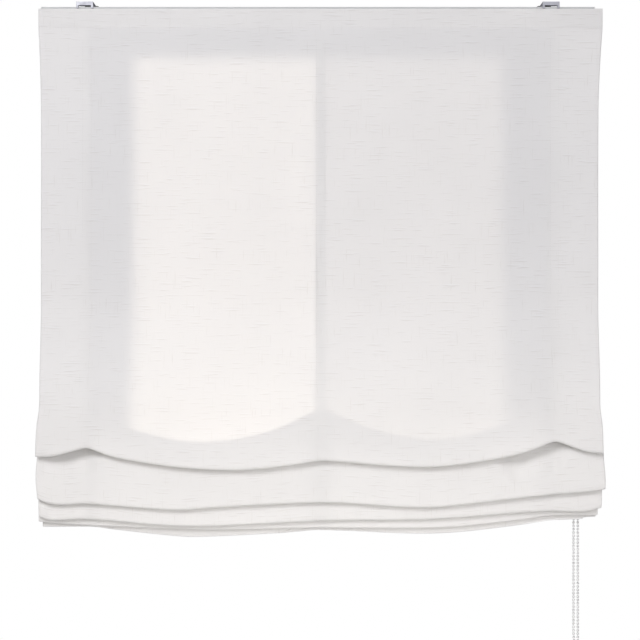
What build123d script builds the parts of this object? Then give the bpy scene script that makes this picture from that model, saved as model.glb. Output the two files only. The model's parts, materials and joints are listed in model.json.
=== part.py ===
from build123d import *

import os
from math import pi

# Relaxed roman blind on a chain-driven head rail, hung from two snap-in ceiling brackets.
# Millimetres. X runs along the rail, the room is towards -Y, Z is up.
# The origin is midway between the two bracket screws, on the ceiling face of the brackets.

# Head rail
RAIL_LENGTH = 980.0
RAIL_DEPTH = 30.0
RAIL_HEIGHT = 36.0
RAIL_WALL = 1.4
RAIL_LIP = 1.2
RAIL_LIP_REACH = 1.0
CLAW_GROOVE_DEPTH = 2.0
CLAW_GROOVE_HEIGHT = 2.4
CAP_THICKNESS = 1.5
CAP_RIM = 0.5
CAP_PLUG = 6.0

# Brackets and their locking levers
BRACKET_INSET = 76.7
BRACKET_WIDTH = 30.0
BRACKET_REAR = 24.5
BRACKET_CORNER = 3.0
METAL_THICKNESS = 1.5
BRACKET_DROP = 9.0
BRACKET_FRONT_GAP = 0.5
LIP_HEIGHT = 6.5
CLAW_WIDTH = 4.0
CLAW_THICKNESS = 1.1
SCREW_HOLE_RADIUS = 2.5
FLANGE_REACH = 12.0
LEVER_Y = 20.0
LEVER_HUB_RADIUS = 4.4
LEVER_HANDLE = 19.0
LEVER_HANDLE_WIDTH = 5.0
LEVER_HANDLE_THICKNESS = 3.5
LEVER_NOSE_REACH = 6.5
LEVER_NOSE_WIDTH = 4.4
LEVER_NOSE_THICKNESS = 1.5
RIVET_RADIUS = 2.0
RIVET_HEAD_RADIUS = 3.4
RIVET_HEAD = 1.2

# Chain drive and shaft
AXIS_DROP = 18.5
SHAFT_SIZE = 6.0
SHAFT_INSET = 49.0
WHEEL_INSET = 31.0
WHEEL_WIDTH = 8.0
WHEEL_POCKETS = 10
WHEEL_RIM_OVER_PITCH = 0.85
HUB_RADIUS = 5.0
CORD_GROOVE = 2.0
HOUSING_LENGTH = 13.0
COVER_LENGTH = 12.0
BEAD_PITCH = 6.0
BEAD_RADIUS = 2.25
BEAD_SIDES = 6
CHAIN_DROP = 1125.0
CHAIN_GAP = 7.6
CHAIN_SWAY = 1.0
CHAIN_TWIST_DROP = 420.0
CONNECTOR_DROP = 500.0
CONNECTOR_LENGTH = 14.0
CONNECTOR_WALL = 0.8

# Cord spools, cradles and cords
LEFT_TAPE_INSET = 81.0
MIDDLE_TAPE_X = 5.0
SPOOL_FROM_HOUSING = 27.0
DRUM_RADIUS = 9.6
DRUM_LENGTH = 36.0
SPOOL_FLANGE_RADIUS = 12.3
SPOOL_FLANGE = 1.5
JOURNAL_RADIUS = 4.45
JOURNAL_LENGTH = 2.8
CORD_DIAMETER = 1.4
WINDING_LENGTH = 25.0
CRADLE_BASE = 2.2
CRADLE_WALL = 2.0
CRADLE_ABOVE_AXIS = 8.0
EYELET_RADIUS = 2.0

# Cloth, tapes and rings
CLOTH = 0.8
CLOTH_PAST_LEFT = 5.0
CLOTH_PAST_RIGHT = 15.0
TOP_GAP = 3.3
TOP_HEM = 35.2
WAIST_LEFT = 4.6
WAIST_RIGHT = 9.7
FLARE_LEFT = 2.4
FLARE_RIGHT = 3.2
HOOK_TAPE = 0.8
HOOK_WIDTH = 25.0
LIFT_TAPE = 0.5
LIFT_TAPE_WIDTH = 18.0
TAPE_MARGIN = 1.0
RING_RADIUS = 6.0
RING_HOLE_RADIUS = 4.3
RING_THICKNESS = 1.8
RING_PITCH = 10.0
LAST_RING_DROP = 12.0
RING_GAP = 0.3
MIDDLE_RING_LEVEL = -521.0
LEAN_START = MIDDLE_RING_LEVEL - RING_RADIUS
UPPER_RING_LEVEL = -138.0
COVER_HEIGHT = 28.0
HEM_DEPTH = 4.7
WEIGHT_RADIUS = 1.6
LOCK_RADIUS = 4.0
LOCK_HEIGHT = 11.0

# Heights of the gathered cloth at the left, middle and right tapes, how far it sags
# between them, and how far it drops at the left and right edges
RING_LEVEL = (-718.0, -722.0, -709.0, 45.0, 24.0, 14.0)
FOLD_LEVELS = (
    (-788.0, -809.0, -778.0, 26.0, 14.0, 18.0),
    (-884.0, -882.0, -868.0, 12.0, 5.0, -9.0),
    (-914.0, -917.0, -899.0, 8.0, -2.0, -4.0),
    (-925.0, -930.0, -911.0, 8.0, -2.0, -1.0),
)
HEM_LEVEL = (-933.0, -938.0, -922.0, 15.0, 0.0, -5.0)
FOLD_FRONT = (-70.0, -53.0, -39.0, -27.0)
FOLD_BACK = (-60.0, -43.5, -30.5, -21.5)
FOLD_ROUND = 0.3
BELLY_LEVEL = -722.0
BELLY_CURVE = ((0.1, 0.25), (0.38, 0.5), (0.7, 0.75), (0.93, 0.93), (1.0, 1.04))
LEG_PITCH = 2.6
KNEE_DROP = 14.0
LEG_DROP = 34.0
BAY_STATIONS = 3

# Small round parts are drawn with this many sides, so that each has few facets
LARGE_SIDES = 20
MEDIUM_SIDES = 12
SMALL_SIDES = 8

# Clearances
RUNNING = 0.05
SLIP = 0.2
SEAT = 0.1

# Places, heights and planes that follow from the sizes above
HALF_RAIL = RAIL_LENGTH / 2
BRACKET_X = HALF_RAIL - BRACKET_INSET
WHEEL_X = HALF_RAIL - WHEEL_INSET
SHAFT_START = SHAFT_INSET - HALF_RAIL
TAPE_X = (LEFT_TAPE_INSET - HALF_RAIL, MIDDLE_TAPE_X, WHEEL_X - HOUSING_LENGTH - SPOOL_FROM_HOUSING)
TOP_LEFT = -HALF_RAIL - CLOTH_PAST_LEFT
TOP_RIGHT = HALF_RAIL + CLOTH_PAST_RIGHT
RAIL_TOP = -BRACKET_DROP
RAIL_BOTTOM = RAIL_TOP - RAIL_HEIGHT
HALF_DEPTH = RAIL_DEPTH / 2
GROOVE_TOP = RAIL_TOP - RAIL_WALL
GROOVE_BOTTOM = GROOVE_TOP - CLAW_GROOVE_HEIGHT
AXIS_Z = RAIL_TOP - AXIS_DROP
LIP_TOP = RAIL_BOTTOM + RAIL_LIP
PITCH_RADIUS = BEAD_PITCH * WHEEL_POCKETS / (2 * pi)
CORD_Y = -(DRUM_RADIUS + CORD_DIAMETER / 2)
HOOK_FACE = -HALF_DEPTH - HOOK_TAPE
CLOTH_BACK = HOOK_FACE - HOOK_TAPE
SHEET_Y = CLOTH_BACK - 1.5 * CLOTH
CLOTH_TOP = RAIL_TOP - TOP_GAP
SHEET_TOP = CLOTH_TOP - TOP_HEM
TAPE_SHIFT = (CLOTH + LIFT_TAPE) / 2 + SEAT
BEND_Y = CORD_Y - RING_RADIUS - RING_GAP - TAPE_SHIFT - LIFT_TAPE / 2
COVER_Y = BEND_Y + HEM_DEPTH
CHAMBER_RADIUS = PITCH_RADIUS + BEAD_RADIUS + 0.5
WHEEL_RADIUS = PITCH_RADIUS + WHEEL_RIM_OVER_PITCH


def save(part, name):
    """Label a finished piece and write it under its own name."""
    part.label = name
    export_step(part, f"parts/{name}.step")


# Head rail


def rail_cavity(clearance):
    """Outline of the rail's inside, for half the rail, drawn smaller by a clearance."""
    narrow = HALF_DEPTH - CLAW_GROOVE_DEPTH - RAIL_WALL - clearance
    wide = HALF_DEPTH - RAIL_WALL - clearance
    shoulder = GROOVE_BOTTOM - RAIL_WALL - clearance
    return [
        (0, GROOVE_TOP - clearance),
        (narrow, GROOVE_TOP - clearance),
        (narrow, shoulder),
        (wide, shoulder),
        (wide, LIP_TOP + clearance / 2),
    ]


def rail_plug(x_start, x_end, clearance):
    """Solid that fills the rail's inside between two places along it."""
    with BuildPart() as plug:
        with BuildSketch(Plane.YZ.offset(x_start)):
            with BuildLine():
                outline = rail_cavity(clearance)
                Polyline(*outline, (0, outline[-1][1]), close=True)
            make_face()
            mirror(about=Plane.YZ)
        extrude(amount=x_end - x_start)
    return plug.part


def make_rail():
    with BuildPart() as rail:
        with BuildSketch(Plane.YZ.offset(-HALF_RAIL)):
            with BuildLine():
                groove_y = HALF_DEPTH - CLAW_GROOVE_DEPTH
                lip_y = HALF_DEPTH - RAIL_WALL - RAIL_LIP_REACH
                Polyline(
                    (0, RAIL_TOP),
                    (HALF_DEPTH, RAIL_TOP),
                    (HALF_DEPTH, GROOVE_TOP),
                    (groove_y, GROOVE_TOP),
                    (groove_y, GROOVE_BOTTOM),
                    (HALF_DEPTH, GROOVE_BOTTOM),
                    (HALF_DEPTH, RAIL_BOTTOM),
                    (lip_y, RAIL_BOTTOM),
                    (lip_y, LIP_TOP),
                    *reversed(rail_cavity(0)),
                    close=True,
                )
            make_face()
            mirror(about=Plane.YZ)
        extrude(amount=RAIL_LENGTH)
    return rail.part


def make_end_cap(side):
    """Cap over the rail's end, with a plug that grips inside it."""
    start = side * HALF_RAIL
    with BuildPart() as cap:
        with BuildSketch(Plane.YZ.offset(start)):
            with Locations((0, (RAIL_TOP + RAIL_BOTTOM) / 2)):
                Rectangle(RAIL_DEPTH, RAIL_HEIGHT + 2 * CAP_RIM)
        extrude(amount=side * CAP_THICKNESS)
        chamfer(cap.edges().filter_by(Axis.X), CAP_THICKNESS)
        add(rail_plug(start, start - side * CAP_PLUG, SLIP))
        with BuildSketch(Plane.YZ.offset(start - side * CAP_PLUG)):
            with Locations((0, AXIS_Z)):
                Rectangle(RAIL_DEPTH - 6 * RAIL_WALL, RAIL_HEIGHT - 8 * RAIL_WALL)
        extrude(amount=side * (CAP_PLUG - CAP_THICKNESS), mode=Mode.SUBTRACT)
    return cap.part


# Brackets


def make_bracket(x):
    """Sheet-metal snap bracket: ceiling plate, front lip with two claws, two side flanges."""
    front = -HALF_DEPTH - BRACKET_FRONT_GAP
    lip_face = front - METAL_THICKNESS
    half = BRACKET_WIDTH / 2
    claw_x = half - CLAW_WIDTH / 2
    claw_top = GROOVE_TOP - (CLAW_GROOVE_HEIGHT - CLAW_THICKNESS) / 4
    claw_bottom = claw_top - CLAW_THICKNESS
    with BuildPart() as bracket:
        with BuildSketch():
            with Locations((x, (lip_face + BRACKET_REAR) / 2)):
                Rectangle(BRACKET_WIDTH, BRACKET_REAR - lip_face)
        extrude(amount=-METAL_THICKNESS)
        rear_corners = bracket.edges().filter_by(Axis.Z).group_by(Axis.Y)[-1]
        chamfer(rear_corners, BRACKET_CORNER)
        with BuildSketch(Plane.YZ.offset(x - half)):
            with BuildLine():
                Polyline((lip_face, 0), (front, 0), (front, -LIP_HEIGHT), (lip_face, -LIP_HEIGHT), close=True)
            make_face()
        extrude(amount=BRACKET_WIDTH)
        for claw in (x - claw_x, x + claw_x):
            with BuildSketch(Plane.YZ.offset(claw - CLAW_WIDTH / 2)):
                with BuildLine():
                    Polyline(
                        (lip_face, -LIP_HEIGHT),
                        (front, -LIP_HEIGHT),
                        (front, claw_top),
                        (-HALF_DEPTH + CLAW_GROOVE_DEPTH * 0.7, claw_top),
                        (-HALF_DEPTH + CLAW_GROOVE_DEPTH * 0.7, claw_bottom),
                        (lip_face, claw_bottom),
                        close=True,
                    )
                make_face()
            extrude(amount=CLAW_WIDTH)
        for flange in (x - half, x + half - METAL_THICKNESS):
            with BuildSketch(Plane.YZ.offset(flange)):
                with BuildLine():
                    Polyline(
                        (-FLANGE_REACH, 0),
                        (FLANGE_REACH, 0),
                        (FLANGE_REACH - BRACKET_CORNER, RAIL_TOP),
                        (-FLANGE_REACH, RAIL_TOP),
                        close=True,
                    )
                make_face()
            extrude(amount=METAL_THICKNESS)
        with Locations((x, 0, 0)):
            Hole(SCREW_HOLE_RADIUS, depth=METAL_THICKNESS)
        with BuildSketch(Plane.XY.offset(-METAL_THICKNESS)):
            with Locations((x, LEVER_Y)):
                RegularPolygon(RIVET_RADIUS + RUNNING, MEDIUM_SIDES, major_radius=False)
        extrude(amount=METAL_THICKNESS, mode=Mode.SUBTRACT)
    return bracket.part


def make_lever(x, inward):
    """Locking lever on its rivet: a hub, a cam nose in the rail's rear groove and a handle."""
    hub_top = -METAL_THICKNESS - SLIP
    nose_top = GROOVE_TOP - (CLAW_GROOVE_HEIGHT - LEVER_NOSE_THICKNESS) / 3
    hub_bottom = nose_top - LEVER_NOSE_THICKNESS
    with BuildPart() as lever:
        with BuildSketch(Plane.XY.offset(hub_top)):
            with Locations((x, LEVER_Y)):
                RegularPolygon(LEVER_HUB_RADIUS, MEDIUM_SIDES)
        extrude(amount=hub_bottom - hub_top)
        with BuildSketch(Plane.XY.offset(hub_top)):
            with BuildLine():
                tip = x + inward * LEVER_HANDLE
                Polyline(
                    (x, LEVER_Y - LEVER_HUB_RADIUS),
                    (tip, LEVER_Y - LEVER_HANDLE_WIDTH / 2),
                    (tip + inward * LEVER_HANDLE_WIDTH / 4, LEVER_Y + LEVER_HANDLE_WIDTH / 2),
                    (x, LEVER_Y + LEVER_HUB_RADIUS),
                    close=True,
                )
            make_face()
        extrude(amount=-LEVER_HANDLE_THICKNESS)
        with BuildSketch(Plane.XY.offset(nose_top)):
            with Locations((x, LEVER_Y - LEVER_NOSE_REACH / 2)):
                Rectangle(LEVER_NOSE_WIDTH, LEVER_NOSE_REACH)
        extrude(amount=-LEVER_NOSE_THICKNESS)
        nose_corners = lever.edges().filter_by(Axis.Z).group_by(Axis.Y)[0]
        chamfer(nose_corners, LEVER_NOSE_WIDTH / 4)
        with BuildSketch(Plane.XY.offset(hub_bottom)):
            with Locations((x, LEVER_Y)):
                RegularPolygon(RIVET_RADIUS + RUNNING, MEDIUM_SIDES, major_radius=False)
        extrude(amount=hub_top - hub_bottom, mode=Mode.SUBTRACT)
    return lever.part


def make_rivet(x):
    nose_top = GROOVE_TOP - (CLAW_GROOVE_HEIGHT - LEVER_NOSE_THICKNESS) / 3
    head_top = nose_top - LEVER_NOSE_THICKNESS - SLIP
    with BuildPart() as rivet:
        with BuildSketch():
            with Locations((x, LEVER_Y)):
                RegularPolygon(RIVET_RADIUS, MEDIUM_SIDES)
        extrude(amount=head_top)
        with BuildSketch(Plane.XY.offset(head_top)):
            with Locations((x, LEVER_Y)):
                RegularPolygon(RIVET_HEAD_RADIUS, MEDIUM_SIDES)
        extrude(amount=-RIVET_HEAD)
    return rivet.part


# Chain drive


def make_drive_housing():
    """Block inside the rail with the wheel's chamber, open below for the chain."""
    chamber_start = WHEEL_X - WHEEL_WIDTH / 2 - SLIP
    chamber_end = WHEEL_X + WHEEL_WIDTH / 2 + SLIP
    with BuildPart() as housing:
        add(rail_plug(chamber_start - HOUSING_LENGTH, chamber_end, SLIP))
        with BuildSketch(Plane.YZ.offset(chamber_start)):
            with Locations((0, AXIS_Z)):
                RegularPolygon(CHAMBER_RADIUS, 2 * MEDIUM_SIDES, major_radius=False)
            with Locations((0, (AXIS_Z + RAIL_BOTTOM) / 2)):
                Rectangle(2 * CHAMBER_RADIUS, AXIS_Z - RAIL_BOTTOM)
        extrude(amount=chamber_end - chamber_start, mode=Mode.SUBTRACT)
        with BuildSketch(Plane.YZ.offset(chamber_start - HOUSING_LENGTH)):
            with Locations((0, AXIS_Z)):
                RegularPolygon(HUB_RADIUS + RUNNING, MEDIUM_SIDES, major_radius=False)
        extrude(amount=HOUSING_LENGTH, mode=Mode.SUBTRACT)
    return housing.part


def make_drive_cover():
    chamber_end = WHEEL_X + WHEEL_WIDTH / 2 + SLIP
    with BuildPart() as cover:
        add(rail_plug(chamber_end, chamber_end + COVER_LENGTH, SLIP))
        with BuildSketch(Plane.YZ.offset(chamber_end)):
            with Locations((0, AXIS_Z)):
                RegularPolygon(HUB_RADIUS + RUNNING, MEDIUM_SIDES, major_radius=False)
        extrude(amount=COVER_LENGTH - METAL_THICKNESS, mode=Mode.SUBTRACT)
    return cover.part


def make_chain_wheel():
    """Sprocket with a pocket for each bead, a groove for the chain's cord and two hubs."""
    start = WHEEL_X - WHEEL_WIDTH / 2
    bead_seat = PITCH_RADIUS - BEAD_RADIUS - SLIP
    pocket_depth = WHEEL_RADIUS - bead_seat + METAL_THICKNESS
    pocket = 2 * BEAD_RADIUS + 2 * SLIP
    with BuildPart() as wheel:
        with BuildSketch(Plane.YZ.offset(start)):
            with Locations((0, AXIS_Z)):
                RegularPolygon(WHEEL_RADIUS, 2 * WHEEL_POCKETS, rotation=90 / WHEEL_POCKETS)
        extrude(amount=WHEEL_WIDTH)
        with BuildSketch(Plane.YZ.offset(WHEEL_X - CORD_GROOVE / 2)):
            with Locations((0, AXIS_Z)):
                RegularPolygon(WHEEL_RADIUS + SLIP, 2 * WHEEL_POCKETS, rotation=90 / WHEEL_POCKETS)
                RegularPolygon(
                    PITCH_RADIUS - CORD_GROOVE / 2,
                    2 * WHEEL_POCKETS,
                    rotation=90 / WHEEL_POCKETS,
                    mode=Mode.SUBTRACT,
                )
        extrude(amount=CORD_GROOVE, mode=Mode.SUBTRACT)
        with BuildSketch(Plane.YZ.offset(WHEEL_X - pocket / 2)):
            with Locations((0, AXIS_Z)):
                with PolarLocations(bead_seat + pocket_depth / 2, WHEEL_POCKETS, start_angle=180 / WHEEL_POCKETS):
                    Rectangle(pocket_depth, pocket)
        extrude(amount=pocket, mode=Mode.SUBTRACT)
        with BuildSketch(Plane.YZ.offset(start - HOUSING_LENGTH)):
            with Locations((0, AXIS_Z)):
                RegularPolygon(HUB_RADIUS, MEDIUM_SIDES)
        extrude(amount=HOUSING_LENGTH + WHEEL_WIDTH + COVER_LENGTH - 2 * METAL_THICKNESS)
        with BuildSketch(Plane.YZ.offset(start - HOUSING_LENGTH)):
            with Locations((0, AXIS_Z)):
                Rectangle(SHAFT_SIZE + 2 * RUNNING, SHAFT_SIZE + 2 * RUNNING)
        extrude(amount=HOUSING_LENGTH, mode=Mode.SUBTRACT)
    return wheel.part


def make_shaft():
    """Square shaft through the three spools into the chain wheel's hub."""
    end = WHEEL_X - WHEEL_WIDTH / 2 - SLIP
    with BuildPart() as shaft:
        with BuildSketch(Plane.YZ.offset(SHAFT_START)):
            with Locations((0, AXIS_Z)):
                Rectangle(SHAFT_SIZE, SHAFT_SIZE)
        extrude(amount=end - SHAFT_START)
    return shaft.part


def chain_route():
    """Closed line of the bead chain: over the wheel, down both strands and round the bottom."""
    top_front = (WHEEL_X, -PITCH_RADIUS, AXIS_Z)
    top_back = (WHEEL_X, PITCH_RADIUS, AXIS_Z)
    turn = (WHEEL_X, 0, AXIS_Z + PITCH_RADIUS)
    low = AXIS_Z - CHAIN_DROP + CHAIN_GAP / 2
    mid = AXIS_Z - CHAIN_TWIST_DROP
    left = WHEEL_X - CHAIN_GAP / 2
    right = WHEEL_X + CHAIN_GAP / 2
    bottom = (WHEEL_X + CHAIN_SWAY, 0, low - CHAIN_GAP / 2)
    straight_down = ((0, 0, -1), (0, 0, -1))
    with BuildLine() as route:
        ThreePointArc(top_back, turn, top_front)
        Spline(top_front, (left, -PITCH_RADIUS / 3, mid), (left + CHAIN_SWAY, 0, low), tangents=straight_down)
        ThreePointArc((left + CHAIN_SWAY, 0, low), bottom, (right + CHAIN_SWAY, 0, low))
        Spline((right + CHAIN_SWAY, 0, low), (right, PITCH_RADIUS / 3, mid), top_back, tangents=((0, 0, 1), (0, 0, 1)))
    return Wire(route.edges())


def make_bead_chain(route):
    """Six-sided beads set tip to tip along the closed route."""
    count = round(route.length / BEAD_PITCH)
    with BuildPart() as bead:
        with BuildSketch():
            RegularPolygon(BEAD_RADIUS, BEAD_SIDES)
        half = route.length / count / 2
        loft([Vertex(0, 0, -half), bead.pending_faces[0], Vertex(0, 0, half)], ruled=True)
    places = route.locations([(i + 0.5) / count for i in range(count)])
    return Compound(children=[bead.part.moved(place) for place in places])


def make_chain_connector(route):
    """Sleeve that closes the chain round two beads, on the rear strand."""
    count = round(route.length / BEAD_PITCH)
    along = 1 - CONNECTOR_DROP / route.length
    place = route.location_at(round(along * count) / count)
    with BuildPart() as connector:
        with BuildSketch(Plane(place).offset(-CONNECTOR_LENGTH / 2)):
            RegularPolygon(BEAD_RADIUS + SLIP + CONNECTOR_WALL, SMALL_SIDES, major_radius=False)
            RegularPolygon(BEAD_RADIUS + SLIP, SMALL_SIDES, major_radius=False, mode=Mode.SUBTRACT)
        extrude(amount=CONNECTOR_LENGTH)
    return connector.part


# Spools, cradles and cords


def ring_solid(x_start, length, outer, inner):
    """Sleeve about the shaft's axis."""
    with BuildPart() as sleeve:
        with BuildSketch(Plane.YZ.offset(x_start)):
            with Locations((0, AXIS_Z)):
                RegularPolygon(outer, LARGE_SIDES)
                RegularPolygon(inner, LARGE_SIDES, mode=Mode.SUBTRACT)
        extrude(amount=length)
    return sleeve.part


def make_spool(x):
    start = x - DRUM_LENGTH / 2 - SPOOL_FLANGE
    total = DRUM_LENGTH + 2 * SPOOL_FLANGE
    with BuildPart() as spool:
        with BuildSketch(Plane.YZ.offset(start - JOURNAL_LENGTH)):
            with Locations((0, AXIS_Z)):
                RegularPolygon(JOURNAL_RADIUS, MEDIUM_SIDES)
        extrude(amount=total + 2 * JOURNAL_LENGTH)
        with BuildSketch(Plane.YZ.offset(start)):
            with Locations((0, AXIS_Z)):
                RegularPolygon(DRUM_RADIUS, LARGE_SIDES)
        extrude(amount=total)
        for flange in (start, start + total - SPOOL_FLANGE):
            with BuildSketch(Plane.YZ.offset(flange)):
                with Locations((0, AXIS_Z)):
                    RegularPolygon(SPOOL_FLANGE_RADIUS, LARGE_SIDES)
            extrude(amount=SPOOL_FLANGE)
        with BuildSketch(Plane.YZ.offset(start - JOURNAL_LENGTH)):
            with Locations((0, AXIS_Z)):
                Rectangle(SHAFT_SIZE + 2 * RUNNING, SHAFT_SIZE + 2 * RUNNING)
        extrude(amount=total + 2 * JOURNAL_LENGTH, mode=Mode.SUBTRACT)
    return spool.part


def make_cradle(x):
    """Saddle on the rail's lips: a base with the cord's eyelet and a bearing at each end."""
    half = DRUM_LENGTH / 2 + SPOOL_FLANGE + SLIP
    width = 2 * (HALF_DEPTH - RAIL_WALL - SLIP)
    wall_height = AXIS_Z + CRADLE_ABOVE_AXIS - LIP_TOP
    with BuildPart() as cradle:
        with BuildSketch(Plane.XY.offset(LIP_TOP)):
            with Locations((x, 0)):
                Rectangle(2 * (half + CRADLE_WALL), width)
            with Locations((x, CORD_Y)):
                RegularPolygon(EYELET_RADIUS, SMALL_SIDES, mode=Mode.SUBTRACT)
        extrude(amount=CRADLE_BASE)
        for wall in (x - half - CRADLE_WALL, x + half):
            with BuildSketch(Plane.YZ.offset(wall)):
                with Locations((0, LIP_TOP + wall_height / 2)):
                    Rectangle(width, wall_height)
                with Locations((0, AXIS_Z)):
                    RegularPolygon(JOURNAL_RADIUS + RUNNING, MEDIUM_SIDES, major_radius=False, mode=Mode.SUBTRACT)
            extrude(amount=CRADLE_WALL)
    return cradle.part


def make_lift_cord(x, bottom):
    """Straight run of a lift cord, from just under the winding to its lock."""
    winding = DRUM_RADIUS + CORD_DIAMETER
    top = AXIS_Z - (winding**2 - DRUM_RADIUS**2) ** 0.5 - SLIP
    with BuildPart() as cord:
        with BuildSketch(Plane.XY.offset(bottom)):
            with Locations((x, CORD_Y)):
                RegularPolygon(CORD_DIAMETER / 2, SMALL_SIDES)
        extrude(amount=top - bottom)
    return cord.part


# Cloth


def level(x, heights):
    """Height at a place along the blind, from the heights at the tapes and the sag between."""
    left, middle, right, sag, left_drop, right_drop = heights
    hold = LIFT_TAPE_WIDTH / 2 + TAPE_MARGIN
    if x <= TAPE_X[0] + hold:
        out = min(1, max(0, (TAPE_X[0] - hold - x) / (TAPE_X[0] - hold - TOP_LEFT)))
        return left - left_drop * out * (2 - out)
    if x >= TAPE_X[2] - hold:
        out = min(1, max(0, (x - TAPE_X[2] - hold) / (TOP_RIGHT - TAPE_X[2] - hold)))
        return right - right_drop * out * (2 - out)
    if abs(x - TAPE_X[1]) <= hold:
        return middle
    first = x < TAPE_X[1]
    start, end = (TAPE_X[0], TAPE_X[1]) if first else (TAPE_X[1], TAPE_X[2])
    a, b = (left, middle) if first else (middle, right)
    along = (x - start - hold) / (end - start - 2 * hold)
    return a + (b - a) * along - sag * 4 * along * (1 - along)


def fold_bottom(front, back, bottom):
    """Rounded turn at the foot of a fold, from its front leg to its back leg."""
    turn = (back - front) * FOLD_ROUND
    small = turn / 3
    return [
        (front, bottom + 2 * turn),
        (front + small, bottom + small * 1.5),
        (front + turn + small, bottom),
        (back - turn - small, bottom),
        (back - small, bottom + small * 1.5),
        (back, bottom + 2 * turn),
    ]


def cloth_route(x):
    """Middle line of the cloth in a cut across the blind, as (y, z), from the top hem down.

    Every leg hangs plumb and leans only next to its bend, by the same amount all along the
    blind, so each strip of cloth between two cuts is flat.
    """
    ring = level(x, RING_LEVEL)
    lean = FOLD_FRONT[0] - SHEET_Y
    drop = BELLY_LEVEL - LEAN_START
    route = [(SHEET_Y, SHEET_TOP), (SHEET_Y, LEAN_START)]
    route += [(SHEET_Y + lean * out, LEAN_START + drop * down) for out, down in BELLY_CURVE]
    folds = len(FOLD_FRONT)
    for fold, (front, back) in enumerate(zip(FOLD_FRONT, FOLD_BACK)):
        bend = ring - RING_PITCH * fold
        knee = BEND_Y - (2 * (folds - fold) - 1) * LEG_PITCH
        route += fold_bottom(front, back, level(x, FOLD_LEVELS[fold]))
        if fold < folds - 1:
            rise = bend - KNEE_DROP
            fall = rise - LEG_PITCH * 1.5
            route += [(back, rise - LEG_DROP), (knee, rise), (BEND_Y, bend), (BEND_Y, bend - LEG_PITCH)]
            route += [(knee + LEG_PITCH, fall), (FOLD_FRONT[fold + 1], fall - LEG_DROP)]
        else:
            end = bend - LAST_RING_DROP
            route += [(back, end - LEG_DROP), (BEND_Y - LEG_PITCH / 2, end), (BEND_Y, end)]
    hem = level(x, HEM_LEVEL)
    turn = HEM_DEPTH * FOLD_ROUND
    route += [(BEND_Y, hem + turn), (BEND_Y + turn, hem), (COVER_Y - turn, hem), (COVER_Y, hem + turn)]
    route += [(COVER_Y, hem + COVER_HEIGHT * 0.7), (BEND_Y + CLOTH + SEAT, hem + COVER_HEIGHT)]
    return route


def shifted(route, shift):
    """A route moved sideways, with its corners mitred; a positive shift is to its left."""
    corners = [Vector(*point) for point in route]
    runs = [(end - start).normalized() for start, end in zip(corners, corners[1:])]
    sides = [Vector(-run.Y, run.X) for run in runs]
    moved = [corners[0] + sides[0] * shift]
    for corner, before, after in zip(corners[1:], sides, sides[1:]):
        moved.append(corner + (before + after) * (shift / (1 + before.dot(after))))
    moved.append(corners[-1] + sides[-1] * shift)
    return [(point.X, point.Y) for point in moved]


def strip_section(x, route, thickness):
    """Cut through a strip of cloth or tape that follows a route, on the plane at x."""
    near = shifted(route, thickness / 2)
    far = shifted(route, -thickness / 2)
    with BuildSketch(Plane.YZ.offset(x)) as section:
        with BuildLine():
            Polyline(*near, *reversed(far), close=True)
        make_face()
    return section.sketch


def cloth_stations():
    """Places along the blind where the cloth is cut: its edges, both sides of each tape,
    and evenly between the tapes."""
    hold = LIFT_TAPE_WIDTH / 2 + TAPE_MARGIN
    stations = [TOP_LEFT]
    for tape, following in zip(TAPE_X, TAPE_X[1:] + (None,)):
        stations += [tape - hold, tape + hold]
        if following is not None:
            step = (following - tape - 2 * hold) / (BAY_STATIONS + 1)
            stations += [tape + hold + step * (i + 1) for i in range(BAY_STATIONS)]
    return stations + [TOP_RIGHT]


def make_fabric():
    """One sheet: top hem, front, four gathered folds and the turned-up bottom hem."""
    bottom = min(HEM_LEVEL[:3]) - HEM_LEVEL[3] - HEM_DEPTH
    waist = SHEET_TOP - (SHEET_TOP - LEAN_START) / 4
    flare = BELLY_LEVEL
    with BuildPart() as fabric:
        loft([strip_section(x, cloth_route(x), CLOTH) for x in cloth_stations()], ruled=True)
        with BuildSketch(Plane.XZ.offset(-RAIL_DEPTH)):
            for edge, inward, waisted, flared in (
                (TOP_LEFT, 1, WAIST_LEFT, FLARE_LEFT),
                (TOP_RIGHT, -1, WAIST_RIGHT, FLARE_RIGHT),
            ):
                with BuildLine():
                    Polyline(
                        (edge - inward * HALF_DEPTH, SHEET_TOP),
                        (edge, SHEET_TOP),
                        (edge + inward * waisted, waist),
                        (edge + inward * waisted, (LEAN_START + BELLY_LEVEL) / 2),
                        (edge + inward * flared, flare),
                        (edge + inward * flared, bottom),
                        (edge - inward * HALF_DEPTH, bottom),
                        close=True,
                    )
                make_face()
        extrude(amount=4 * RAIL_DEPTH, mode=Mode.SUBTRACT)
        with BuildSketch(Plane.XY.offset(SHEET_TOP)):
            with Locations(((TOP_LEFT + TOP_RIGHT) / 2, CLOTH_BACK - CLOTH)):
                Rectangle(TOP_RIGHT - TOP_LEFT, 2 * CLOTH)
        extrude(amount=TOP_HEM)
    return fabric.part


def make_lift_tape(x):
    """Tape sewn down the back of the cloth, through every fold, to the last ring."""
    last_bend = level(x, RING_LEVEL) - RING_PITCH * (len(FOLD_FRONT) - 1) - LAST_RING_DROP
    route = cloth_route(x)[:-6] + [(BEND_Y, last_bend - LOCK_HEIGHT - RING_PITCH)]
    section = strip_section(x - LIFT_TAPE_WIDTH / 2, shifted(route, TAPE_SHIFT), LIFT_TAPE)
    with BuildPart() as tape:
        extrude(section, amount=LIFT_TAPE_WIDTH)
    return tape.part


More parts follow.
